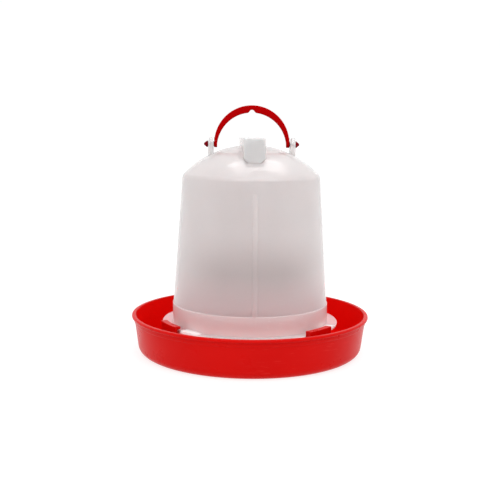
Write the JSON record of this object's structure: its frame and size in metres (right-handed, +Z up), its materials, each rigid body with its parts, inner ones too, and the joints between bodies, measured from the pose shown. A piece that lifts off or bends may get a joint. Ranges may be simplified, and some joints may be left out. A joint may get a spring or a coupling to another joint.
{
  "type": "poultry waterer fount",
  "caption": "Gravity drinker for chicks: a milky domed fount standing mouth down in a round red tray, with hook-in bayonet tabs and a snap-in swinging bail handle.",
  "frame": {"origin": "centre of the tray's foot, on the surface that the tray stands on", "axes": "+Z up along the fount's axis, +X along the handle's pivots, -Y the front with the raised strip"},
  "size_m": [0.2, 0.2, 0.2065],
  "materials": {
    "tray_red": "glossy injection-moulded polypropylene, opaque signal red",
    "handle_red": "satin injection-moulded polypropylene, deeper red",
    "fount_milky": "translucent milky polypropylene, satin"
  },
  "bodies": {
    "tray": {"tray_bowl": "tray_red", "tray_hub": "tray_red", "tray_hook_front": "tray_red", "tray_hook_back": "tray_red", "tray_hook_left": "tray_red"},
    "fount": {"fount_shell": "fount_milky", "fount_bar": "fount_milky", "handle_ear_left": "fount_milky", "handle_ear_right": "fount_milky", "flange_ring": "fount_milky"},
    "handle": {"bail_arch": "handle_red", "pivot_pin_left": "handle_red", "pivot_pin_right": "handle_red"}
  },
  "joints": [
    {"name": "fount_lift", "type": "slide", "parent": "tray", "child": "fount", "axis": [0, 0, 1], "range_m": [0, 0.06]},
    {"name": "handle_swing", "type": "hinge", "parent": "fount", "child": "handle", "pos_m": [0, 0, 0.1746], "axis": [1, 0, 0], "range_deg": [-70, 70]}
  ]
}
